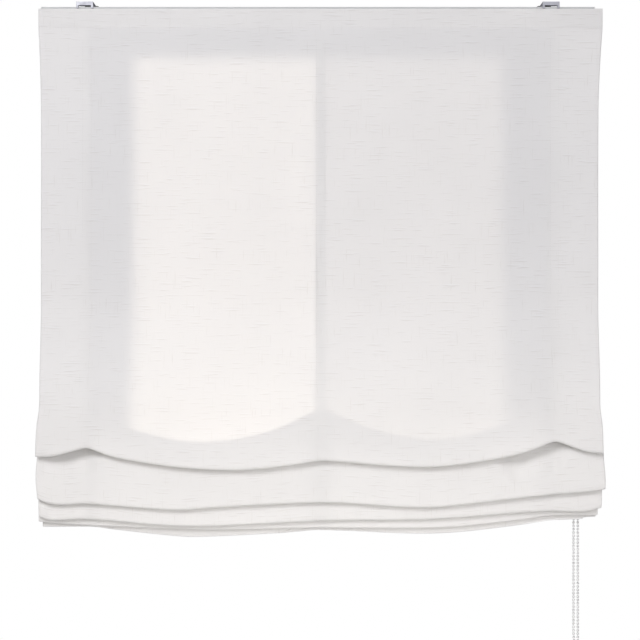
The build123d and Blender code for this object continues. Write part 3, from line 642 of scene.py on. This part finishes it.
def cloth_line(x, sizes):
    """The cloth at x from the inside of its top hem to the end of its bottom hem, as (y, z, stage)."""
    line = [(y, z, 0) for y, z in top_hem()]
    for row in range(1, HANGING_ROWS + 1):
        z = SEAM_Z + (LEAN_Z - SEAM_Z) * row / HANGING_ROWS
        line.append((SHEET_Y - swell(x, z, sizes), z, row / HANGING_ROWS))
    start = SHEET_Y - swell(x, LEAN_Z, sizes)
    for row in range(1, LEAN_ROWS + 1):
        t = row / LEAN_ROWS
        fuller = 0.004 * bay(x) * math.sin(math.pi * t)
        y = start + (FOLD_FRONT[0] - start) * smooth(t, 0, 1) - fuller
        line.append((y, LEAN_Z + (BELLY_Z - LEAN_Z) * t, 1 + t))
    bend = height_on(BEND_EDGE, x)
    deep = hollow(x)
    count = len(FOLD_FRONT)
    top = BELLY_Z
    for fold, (front, back) in enumerate(zip(FOLD_FRONT, FOLD_BACK)):
        stage = 3 + 2 * fold
        bottom = height_on(FOLD_EDGES[fold], x)
        turn = (back - front) / 2
        for step in (0.3, 0.62, 0.86):
            line.append((front, top + (bottom + turn - top) * step, stage - 0.5 + step / 2))
        for angle in (0, 45, 90, 135, 180):
            round_y = front + turn * (1 - math.cos(math.radians(angle)))
            round_z = bottom + turn * FOLD_ROUND * (1 - math.sin(math.radians(angle)))
            line.append((round_y, round_z, stage))
        knee = BEND_Y - (2 * (count - fold) - 1) * LEG_PITCH
        last = fold == count - 1
        rise = bend - (LAST_BEND_DROP if last else BEND_DROP)
        late = deep if fold else 0.0
        room = (rise - bottom - 2.8 * turn) * 0.7
        reach = min(BACK_REACH + BACK_REACH_IN_HOLLOW * late, max(SHORTEST_REACH, room))
        for step in (0.35, 0.75):
            line.append((back, bottom + (rise - reach - bottom) * step, stage + step / 3))
        line.append((back, rise - reach, stage + 0.4))
        if last:
            line += [(BEND_Y - LEG_PITCH / 2, rise - 0.003, stage + 0.8), (BEND_Y - 0.0009, rise, stage + 1)]
            line.append((BEND_Y, rise - 0.002, stage + 1))
            top = rise - 0.004
        else:
            middle = knee + (back - knee) * (0.5 - 0.3 * late)
            line += [(middle, rise - reach / 2, stage + 0.6), (knee, rise, stage + 0.8)]
            line += [(BEND_Y - 0.002, bend - 0.0012, stage + 1), (BEND_Y, bend, stage + 1)]
            line += [(BEND_Y, bend - 0.0022, stage + 1), (BEND_Y - 0.002, bend - 0.0042, stage + 1)]
            fall = rise - LEG_PITCH * 1.5
            reach = FRONT_REACH + FRONT_REACH_IN_HOLLOW * deep
            start, end = knee + LEG_PITCH, FOLD_FRONT[fold + 1]
            middle = start + (end - start) * (0.5 - 0.08 * deep)
            top = fall - reach
            line += [(start, fall, stage + 1.1), (middle, fall - reach * (0.5 + 0.24 * deep), stage + 1.3)]
            line.append((end, top, stage + 1.5))
            bend -= RING_STEP
    hem = height_on(HEM_EDGE, x)
    for step in (0.0, 0.25, 0.5, 0.75, 0.93):
        line.append((BEND_Y, top + (hem + 0.004 - top) * step, 10 + step))
    return line + [(BEND_Y + back, hem + lift, 12) for back, lift in HEM_ROLL]


def side_pull(x, stage):
    """How far the cloth is drawn in from its cut edges at a stage of its way down."""
    left = height_on(LEFT_EDGE, stage) - LEFT_EDGE[0][1]
    right = height_on(RIGHT_EDGE, stage) - RIGHT_EDGE[0][1]
    return left * smooth(-x, 0.30, 0.495) + right * smooth(x, 0.30, 0.505)


def ply_distance(sizes):
    """Distance between the two plies of a side hem."""
    return sizes.cloth_thickness + 0.0003


def cloth_columns(sizes):
    """The cloth's columns as (x, distance behind the front ply), from one side hem round to the other."""
    low, high = LEFT_EDGE[0][1], RIGHT_EDGE[0][1]
    inset = 0.001
    across = [low + inset + (high - low - 2 * inset) * k / COLUMNS for k in range(COLUMNS + 1)]
    for tape in TAPES:
        across = [x for x in across if abs(x - tape) > 0.014]
        across += [tape + off for off in (-0.010, -0.0048, 0, 0.0048, 0.010)]
    across = [(x, 0.0) for x in sorted(across)]
    ply = ply_distance(sizes)
    hem = [sizes.side_hem * share for share in (1, 0.98, 0.8, 0.6, 0.4, 0.2)] + [0.0012]
    left = [(low + out, ply) for out in hem] + [(low, ply / 2)]
    right = [(high, ply / 2)] + [(high - out, ply) for out in reversed(hem)]
    return left + across + right


def behind(line, distance):
    """A line moved towards the back of the cloth."""
    moved = []
    for k, (y, z, stage) in enumerate(line):
        (ay, az, _), (by, bz, _) = line[max(k - 1, 0)], line[min(k + 1, len(line) - 1)]
        run = math.hypot(by - ay, bz - az) or 1.0
        moved.append((y - (bz - az) / run * distance, z + (by - ay) / run * distance, stage))
    return moved


def turned_back(line, distance):
    """The ply folded back at a side: behind the sheet, but flat on the top hem's inner ply."""
    inner_points = 4
    return behind(line, 0.00015)[:inner_points] + behind(line, distance)[inner_points:]


def run_down(line):
    """Distance down a line of the cloth at each of its points."""
    return run_along([(y, z) for y, z, stage in line])


def make_strip(name, columns, lines, finish, thickness):
    """Strip of cloth or tape: a grid laid over the given lines, one for each column.

    Its map is in metres, held level along the lower edge of each fold, as the weave is.
    """
    rows = len(lines[0])
    shape = bmesh.new()
    bmesh.ops.create_grid(shape, x_segments=len(columns) - 1, y_segments=rows - 1, size=1.0)
    order = sorted(shape.verts, key=lambda v: (round(-v.co.y, 6), round(v.co.x, 6)))
    down = [run_down(line) for line in lines]
    for level_stage in LEVEL_STAGES:
        start = next((k for k, point in enumerate(lines[0]) if point[2] >= level_stage - 1), rows)
        anchor = next((k for k, point in enumerate(lines[0]) if point[2] >= level_stage), rows - 1)
        level = sum(run[anchor] for run in down) / len(down)
        for run in down:
            run[start:] = [place + level - run[anchor] for place in run[start:]]
    across = run_along(columns)
    layer = shape.loops.layers.uv.new("Cloth")
    for index, vertex in enumerate(order):
        row, column = divmod(index, len(columns))
        x = columns[column][0]
        y, z, stage = lines[column][row]
        vertex.co = (x + side_pull(x, stage), y, z)
        for loop in vertex.link_loops:
            loop[layer].uv = (across[column], down[column][row])
    bmesh.ops.recalc_face_normals(shape, faces=shape.faces)
    piece = as_piece(name, shape, finish)
    softer = piece.modifiers.new("Soft curve", "SUBSURF")
    softer.levels = softer.render_levels = 1
    wall = piece.modifiers.new("Thickness", "SOLIDIFY")
    wall.thickness = thickness
    wall.offset = 0.0
    return piece, across[-1], sum(run_down(line)[-1] for line in lines) / len(lines)


def stitch_pattern(sizes):
    """One sewn stitch: a short thread, pinched where it dives into the cloth."""
    shape = bmesh.new()
    bmesh.ops.create_uvsphere(shape, u_segments=6, v_segments=4, radius=1.0)
    size = (sizes.thread_radius, sizes.thread_radius, sizes.stitch_length / 2)
    bmesh.ops.scale(shape, vec=size, verts=shape.verts)
    return as_pattern(shape)


def add_seam(shape, pattern, points, sizes, off):
    """Row of stitches along a line of points, each standing off by the given vector."""
    step = sizes.stitch_length * 1.25
    carried = 0.0
    for a, b in zip(points, points[1:]):
        run = b - a
        place = carried
        while place + sizes.stitch_length <= run.length:
            start = a + run * (place / run.length) + off
            lay_down(shape, pattern, along_line(start, start + run.normalized() * sizes.stitch_length))
            place += step
        carried = max(0.0, place - run.length)


class BLIND_OT_cloth(bpy.types.Operator):
    """Hang the linen, with its top hem, gathered folds and bottom hem"""

    bl_idname = "blind.cloth"
    bl_label = "Cloth"

    def execute(self, context):
        sizes, colours = settings(context)
        finish = linen_finish("Slubbed linen", colours, 0.55)
        columns = cloth_columns(sizes)
        lines = []
        for x, back in columns:
            line = cloth_line(x, sizes)
            lines.append(turned_back(line, back) if back else line)
        cloth, width, length = make_strip("linen_sheet", columns, lines, finish, sizes.cloth_thickness)
        follow_cloth(cloth)
        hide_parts("fabric")
        return {"FINISHED"}


class BLIND_OT_seams(bpy.types.Operator):
    """Sew the top hem and the bottom hem"""

    bl_idname = "blind.seams"
    bl_label = "Seams"

    def execute(self, context):
        sizes, colours = settings(context)
        finish = cord_finish("Sewing thread", colours.tape)
        stitch = stitch_pattern(sizes)
        face = -sizes.cloth_thickness / 2
        shape = bmesh.new()
        for z, _ in STITCH_ROWS:
            row = [Vector((x, SHEET_Y, z)) for x in (-0.494, 0.504)]
            add_seam(shape, stitch, row, sizes, Vector((0, face + STITCH_DIP, 0)))
        top = as_piece("top_hem_stitches", shape, finish)
        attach(top, RAIL_BODY)
        shape = bmesh.new()
        above_edge = 0.024
        across = [-0.484 + 0.01 * k for k in range(98)]
        row = [Vector((x, BEND_Y, height_on(HEM_EDGE, x) + above_edge)) for x in across]
        add_seam(shape, stitch, row, sizes, Vector((0, face, 0)))
        bottom = as_piece("bottom_hem_stitches", shape, finish)
        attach(bottom, STACK_BODY)
        return {"FINISHED"}


class BLIND_OT_tapes(bpy.types.Operator):
    """Sew the three lift tapes down the back of the cloth"""

    bl_idname = "blind.tapes"
    bl_label = "Lift Tapes"

    def execute(self, context):
        sizes, colours = settings(context)
        finish = tape_finish("Lift tape", colours.tape, 0.7)
        stitches, stitch = bmesh.new(), stitch_pattern(sizes)
        half = sizes.tape_width / 2
        points_short_of_hem = 12
        for tape, word in zip(TAPES, TAPE_WORDS):
            line = cloth_line(tape, sizes)
            first = next(k for k, point in enumerate(line) if point[2] > 0)
            ply = 0.0 if word == "middle" else ply_distance(sizes)
            distance = (sizes.cloth_thickness + sizes.tape_thickness) / 2 + 0.0001 + ply
            back = behind(line[first:-points_short_of_hem], distance)
            columns = [(tape + half * share, 0.0) for share in (-1, -0.5, 0, 0.5, 1)]
            lines = [back] * len(columns)
            strip, _, _ = make_strip(f"lift_tape_{word}_sewn", columns, lines, finish, sizes.tape_thickness)
            follow_cloth(strip)
            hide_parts(f"lift_tape_{word}")
            face = -sizes.cloth_thickness / 2
            front = [Vector((0, y + face, z)) for y, z, stage in line if 0 < stage <= 1.8]
            for side in (-1, 1):
                off = Vector((tape + side * (half - 0.0015), 0, 0))
                add_seam(stitches, stitch, front, sizes, off)
        seams = as_piece("lift_tape_stitches", stitches, cord_finish("Tape thread", colours.tape))
        follow_cloth(seams)
        return {"FINISHED"}


class BLIND_OT_cords(bpy.types.Operator):
    """String the three lift cords from their spools to the locks"""

    bl_idname = "blind.cords"
    bl_label = "Lift Cords"

    def execute(self, context):
        sizes, colours = settings(context)
        finish = cord_finish("Lift cord", colours.tape)
        runs = 4
        for word in TAPE_WORDS:
            low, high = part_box(f"lift_cord_{word}")
            x = middle_of(f"lift_cord_{word}", "x")
            curve, spline, route = new_route(f"cord_route_{word}", "NURBS")
            spline.points.add(runs)
            for k, point in enumerate(spline.points):
                point.co = (x, CORD_Y, high.z + (low.z - high.z) * k / runs, 1)
            spline.order_u = 3
            spline.use_endpoint_u = True
            spline.resolution_u = 8
            path = [tuple(point) for point in line_of(route)]
            curve.bevel_depth = sizes.cord_diameter / 2
            curve.bevel_resolution = 3
            curve.use_fill_caps = True
            mesh = bpy.data.meshes.new_from_object(route)
            bpy.data.curves.remove(curve)
            cord = link_piece(f"lift_cord_{word}_braid", mesh, finish)
            follow_cloth(cord)
            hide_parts(f"lift_cord_{word}")
        return {"FINISHED"}


def add_sewn_ring(shape, threads, centre, sizes):
    """One cord ring, lashed to its tape with a few turns of thread."""
    add_ring(shape, centre, sizes.ring_radius - sizes.ring_wire, sizes.ring_wire, Vector((0, 0, 1)))
    front = centre + Vector((0, -sizes.ring_radius + 0.0004, 0))
    for side in (-0.0007, 0.0, 0.0007):
        lean = Vector((1, side * 60, 0)).normalized()
        add_ring(threads, front + Vector((side, 0, 0)), 0.0013, 0.00017, lean, 12, 5)


class BLIND_OT_rings(bpy.types.Operator):
    """Sew the rows of cord rings to the tapes, and lock the cords under the last row"""

    bl_idname = "blind.rings"
    bl_label = "Rings and Cord Locks"

    def execute(self, context):
        sizes, colours = settings(context)
        clear = clear_finish("Clear ring", (0.86, 0.88, 0.89))
        thread = cord_finish("Ring thread", colours.tape)
        drops = (0, RING_STEP, 2 * RING_STEP, LAST_RING_DROP)
        rows = {
            "gathered_rings": [[z - drop for drop in drops] for z in RING_Z],
            "middle_rings": [[MIDDLE_RING_Z]] * 3,
            "upper_rings": [[UPPER_RING_Z]] * 3,
        }
        for name, heights in rows.items():
            shape, threads = bmesh.new(), bmesh.new()
            for tape, levels in zip(TAPES, heights):
                for z in levels:
                    add_sewn_ring(shape, threads, Vector((tape, CORD_Y, z)), sizes)
            tidy(shape)
            tidy(threads)
            body = frame["nodes"][name]["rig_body"]
            rings = as_piece(f"{name}_moulded", shape, clear)
            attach(rings, body)
            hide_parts(name)
            lashing = as_piece(f"{name}_thread", threads, thread)
            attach(lashing, body)
        shape, knots = bmesh.new(), bmesh.new()
        below_ring = 0.001
        for tape, z in zip(TAPES, RING_Z):
            centre = Vector((tape, CORD_Y, z - LAST_RING_DROP - below_ring))
            add_turned(shape, centre, LOCK_OUTLINE)
            for height, slant in ((-0.0119, 0.3), (-0.0131, -0.3)):
                lean = Vector((slant, 0.2, 1)).normalized()
                add_ring(knots, centre + Vector((0, 0, height)), 0.0010, 0.0007, lean, 12, 8)
        tidy(shape)
        tidy(knots)
        moulded = plastic_finish("Cord lock plastic", colours.plastic, 0.4)
        locks = as_piece("cord_locks_moulded", shape, moulded)
        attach(locks, STACK_BODY)
        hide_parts("cord_locks")
        knot = as_piece("cord_knots", knots, thread)
        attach(knot, STACK_BODY)
        return {"FINISHED"}


class BLIND_OT_hem_weight(bpy.types.Operator):
    """Lay the bendable weight in the bottom hem"""

    bl_idname = "blind.hem_weight"
    bl_label = "Hem Weight"

    def execute(self, context):
        colours = context.scene.blind_colours
        shape = bmesh.new()
        places = [-0.474 + 0.0115 * k for k in range(83)]
        seat = Vector((places[0], BEND_Y + 0.0023, height_on(HEM_EDGE, places[0]) + 0.0022))
        made = bmesh.ops.create_circle(shape, cap_ends=True, segments=8, radius=0.0014)
        quarter = Matrix.Rotation(math.pi / 2, 4, "Y")
        bmesh.ops.transform(shape, matrix=Matrix.Translation(seat) @ quarter, verts=made["verts"])
        face = shape.faces[:][0]
        for a, b in zip(places, places[1:]):
            grown = bmesh.ops.extrude_face_region(shape, geom=[face])
            tip = [g for g in grown["geom"] if isinstance(g, bmesh.types.BMVert)]
            step = Vector((b - a, 0, height_on(HEM_EDGE, b) - height_on(HEM_EDGE, a)))
            bmesh.ops.translate(shape, vec=step, verts=tip)
            bmesh.ops.delete(shape, geom=[face], context="FACES_ONLY")
            face = next(g for g in grown["geom"] if isinstance(g, bmesh.types.BMFace))
        tidy(shape)
        weight = as_piece("hem_weight_cord", shape, cord_finish("Weight cover", colours.tape))
        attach(weight, STACK_BODY)
        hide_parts("hem_weight")
        return {"FINISHED"}


def chain_places(sizes):
    """Even places of the beads round the chain's loop, read from a smooth closed curve."""
    x, axis_z, pockets = 0.459, middle_of("chain_wheel", "z"), 10
    radius = sizes.bead_pitch * pockets / math.tau
    half = 0.0076 / 2
    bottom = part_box("bead_chain")[0].z + sizes.bead_radius
    twist_z, end_z = axis_z - 0.42, bottom + half + 0.030
    sway, turn, curl = 0.001, 0.0027, 0.55
    keys = [
        ((x, -radius, axis_z), (0, 0, -0.02)),
        ((x - half, -radius / 3, twist_z), (0, 0.002, -0.16)),
        ((x - half, 0, end_z), (0, 0, -0.012)),
        ((x + sway - turn, 0, bottom + turn), (0, 0, -turn * curl)),
        ((x + sway, 0, bottom), (turn * curl, 0, 0)),
        ((x + sway + turn, 0, bottom + turn), (0, 0, turn * curl)),
        ((x + half, 0, end_z), (0, 0, 0.012)),
        ((x + half, radius / 3, twist_z), (0, 0.002, 0.16)),
        ((x, radius, axis_z), (0, 0, radius * curl)),
        ((x, 0, axis_z + radius), (0, -radius * curl, 0)),
    ]
    curve, spline, route = new_route("chain_route", "BEZIER")
    spline.bezier_points.add(len(keys) - 1)
    for point, (place, reach) in zip(spline.bezier_points, keys):
        point.handle_left_type = point.handle_right_type = "FREE"
        point.co = place
        point.handle_left = Vector(place) - Vector(reach)
        point.handle_right = Vector(place) + Vector(reach)
    spline.bezier_points[0].handle_left = Vector(keys[0][0]) + Vector((0, 0, radius * curl))
    spline.use_cyclic_u = True
    spline.resolution_u = 64
    points = line_of(route)
    bpy.data.curves.remove(curve)
    points.append(points[0])
    runs = run_along(points)
    count = round(runs[-1] / sizes.bead_pitch)
    places, k = [], 0
    for bead in range(count):
        target = runs[-1] * (bead + 0.5) / count
        while runs[k + 1] < target:
            k += 1
        places.append(points[k].lerp(points[k + 1], (target - runs[k]) / (runs[k + 1] - runs[k])))
    return places


class BLIND_OT_bead_chain(bpy.types.Operator):
    """Hang the endless bead chain from its wheel"""

    bl_idname = "blind.bead_chain"
    bl_label = "Bead Chain"

    def execute(self, context):
        sizes, colours = settings(context)
        shape = bmesh.new()
        bmesh.ops.create_icosphere(shape, subdivisions=2, radius=sizes.bead_radius)
        bead = as_pattern(shape)
        shape = bmesh.new()
        wire, half_link = 0.00055, Vector((0, 0, sizes.bead_pitch / 2))
        bmesh.ops.create_cone(
            shape, cap_ends=True, segments=5, radius1=wire, radius2=wire, depth=sizes.bead_pitch,
            matrix=along_line(-half_link, half_link),
        )
        link = as_pattern(shape)
        shape = bmesh.new()
        places = chain_places(sizes)
        for place, following in zip(places, places[1:] + places[:1]):
            lay_down(shape, bead, Matrix.Translation(place))
            lay_down(shape, link, along_line(place, following))
        nickel = metal_finish("Nickel beads", colours.beads, 0.3, 0.6, False)
        chain = as_piece("bead_chain_loop", shape, nickel)
        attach(chain, RAIL_BODY)
        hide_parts("bead_chain")
        low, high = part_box("chain_connector")
        shape = bmesh.new()
        add_turned(shape, (low + high) / 2, CONNECTOR_OUTLINE, steps=16)
        tidy(shape)
        clear = clear_finish("Clear connector", (0.84, 0.86, 0.87))
        sleeve = as_piece("chain_connector_sleeve", shape, clear)
        wall = sleeve.modifiers.new("Thickness", "SOLIDIFY")
        wall.thickness = 0.0004
        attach(sleeve, RAIL_BODY)
        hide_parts("chain_connector")
        return {"FINISHED"}


class BLIND_OT_fittings(bpy.types.Operator):
    """Finish the headrail, brackets, levers, spools and drive"""

    bl_idname = "blind.fittings"
    bl_label = "Headrail and Fittings"

    def execute(self, context):
        colours = context.scene.blind_colours
        finishes = {
            "rail_metal": (paint_finish("Powder coat", colours.rail), 0.0003),
            "white_plastic": (plastic_finish("White plastic", colours.plastic, 0.45), 0.0003),
            "grey_plastic": (plastic_finish("Grey plastic", colours.gear, 0.5), 0.0003),
            "black_plastic": (plastic_finish("Black plastic", colours.lever, 0.35), 0.0005),
            "zinc": (metal_finish("Zinc plate", colours.zinc, 0.48, 0.4), 0.00035),
            "shaft_steel": (metal_finish("Drawn steel", (0.4, 0.41, 0.42), 0.35), 0.0004),
            "white_tape": (tape_finish("Hook and loop tape", colours.tape), 0.0001),
            "cord": (cord_finish("Wound cord", colours.tape), 0.0003),
        }
        slots = {part["node"]: part["material_slot"] for part in frame["record"]["subparts"]}
        for name, part in sorted(frame["nodes"].items()):
            if part.hide_render:
                continue
            piece = rounded_copy(part, *finishes[slots[name]])
        return {"FINISHED"}


def add_floor():
    """Plain pale floor that glows a little."""
    shape = bmesh.new()
    bmesh.ops.create_grid(shape, x_segments=1, y_segments=1, size=FLOOR_HALF)
    bmesh.ops.translate(shape, vec=(0, 0, FLOOR_Z), verts=shape.verts)
    finish, tree, shader = new_finish("Pale floor")
    fill(tree, shader, {"Base Color": (0.86, 0.86, 0.86, 1), "Roughness": 0.8})
    fill(tree, shader, {"Emission Color": (1, 1, 1, 1), "Emission Strength": 0.25})
    floor = as_piece("floor", shape, finish)


def add_lamp(name, place, aim, size, watts, colour, spread_angle):
    """Soft rectangular lamp aimed at a point, unseen by the camera."""
    lamp = bpy.data.lights.new(name, "AREA")
    lamp.shape = "RECTANGLE"
    lamp.size, lamp.size_y = size
    lamp.energy = watts
    lamp.color = colour
    lamp.spread = math.radians(spread_angle)
    light = bpy.data.objects.new(name, lamp)
    light.location = place
    light.rotation_euler = (Vector(aim) - Vector(place)).to_track_quat("-Z", "Z").to_euler()
    light.visible_camera = False
    bpy.context.scene.collection.objects.link(light)


def make_world():
    """Dim soft light from all round, behind a white background."""
    world = bpy.data.worlds.new("Studio")
    world.use_nodes = True
    tree = world.node_tree
    room = tree.nodes["Background"]
    fill(tree, room, {"Color": (0.88, 0.87, 0.93, 1), "Strength": 0.21})
    wall = node(tree, "ShaderNodeBackground", {"Color": (1, 1, 1, 1), "Strength": 1.0})
    seen = node(tree, "ShaderNodeLightPath").outputs["Is Camera Ray"]
    show_mix(tree, seen, room.outputs["Background"], wall.outputs["Background"])
    return world


def add_camera():
    """Camera straight in front, its frame as wide as the photograph's."""
    lens = bpy.data.cameras.new("Camera")
    camera = bpy.data.objects.new("Camera", lens)
    camera.location = CAMERA_PLACE
    camera.rotation_euler = (math.pi / 2, 0, 0)
    half_width = IMAGE_WIDTH / 2 * PIXEL
    lens.lens = lens.sensor_width / 2 * (CAMERA_DISTANCE + SHEET_Y) / half_width
    bpy.context.scene.collection.objects.link(camera)
    return camera


class BLIND_OT_stage(bpy.types.Operator):
    """Set the floor, the soft lights and the camera"""

    bl_idname = "blind.stage"
    bl_label = "Stage"

    def execute(self, context):
        scene = context.scene
        add_floor()
        for lamp in LAMPS:
            add_lamp(*lamp)
        scene.world = make_world()
        scene.view_settings.view_transform = "Standard"
        scene.camera = add_camera()
        return {"FINISHED"}


OPERATORS = (
    BLIND_OT_stage,
    BLIND_OT_cords,
    BLIND_OT_bead_chain,
    BLIND_OT_cloth,
    BLIND_OT_seams,
    BLIND_OT_tapes,
    BLIND_OT_rings,
    BLIND_OT_hem_weight,
    BLIND_OT_fittings,
)


class BLIND_PT_panel(bpy.types.Panel):
    """The blind's parts, sizes and colours"""

    bl_idname = "BLIND_PT_panel"
    bl_label = "Roman Blind"
    bl_space_type = "VIEW_3D"
    bl_region_type = "UI"
    bl_category = "Blind"

    def draw(self, context):
        layout = self.layout
        for operator in OPERATORS:
            layout.operator(operator.bl_idname)
        for group in settings(context):
            box = layout.box()
            for key in group.__annotations__:
                box.prop(group, key)


CLASSES = (BlindSizes, BlindColours, *OPERATORS, BLIND_PT_panel)


def register():
    """Register the classes and hang the sizes and colours on the scene."""
    for made in CLASSES:
        bpy.utils.register_class(made)
    bpy.types.Scene.blind_sizes = bpy.props.PointerProperty(type=BlindSizes)
    bpy.types.Scene.blind_colours = bpy.props.PointerProperty(type=BlindColours)


def unregister():
    """Take away what register added."""
    del bpy.types.Scene.blind_colours
    del bpy.types.Scene.blind_sizes
    for made in reversed(CLASSES):
        bpy.utils.unregister_class(made)


def main():
    """Build the blind."""
    register()
    bpy.ops.blind.stage()
    bpy.ops.blind.cords()
    bpy.ops.blind.bead_chain()
    bpy.ops.blind.cloth()
    bpy.ops.blind.seams()
    bpy.ops.blind.tapes()
    bpy.ops.blind.rings()
    bpy.ops.blind.hem_weight()
    bpy.ops.blind.fittings()


if __name__ == "__main__":
    main()
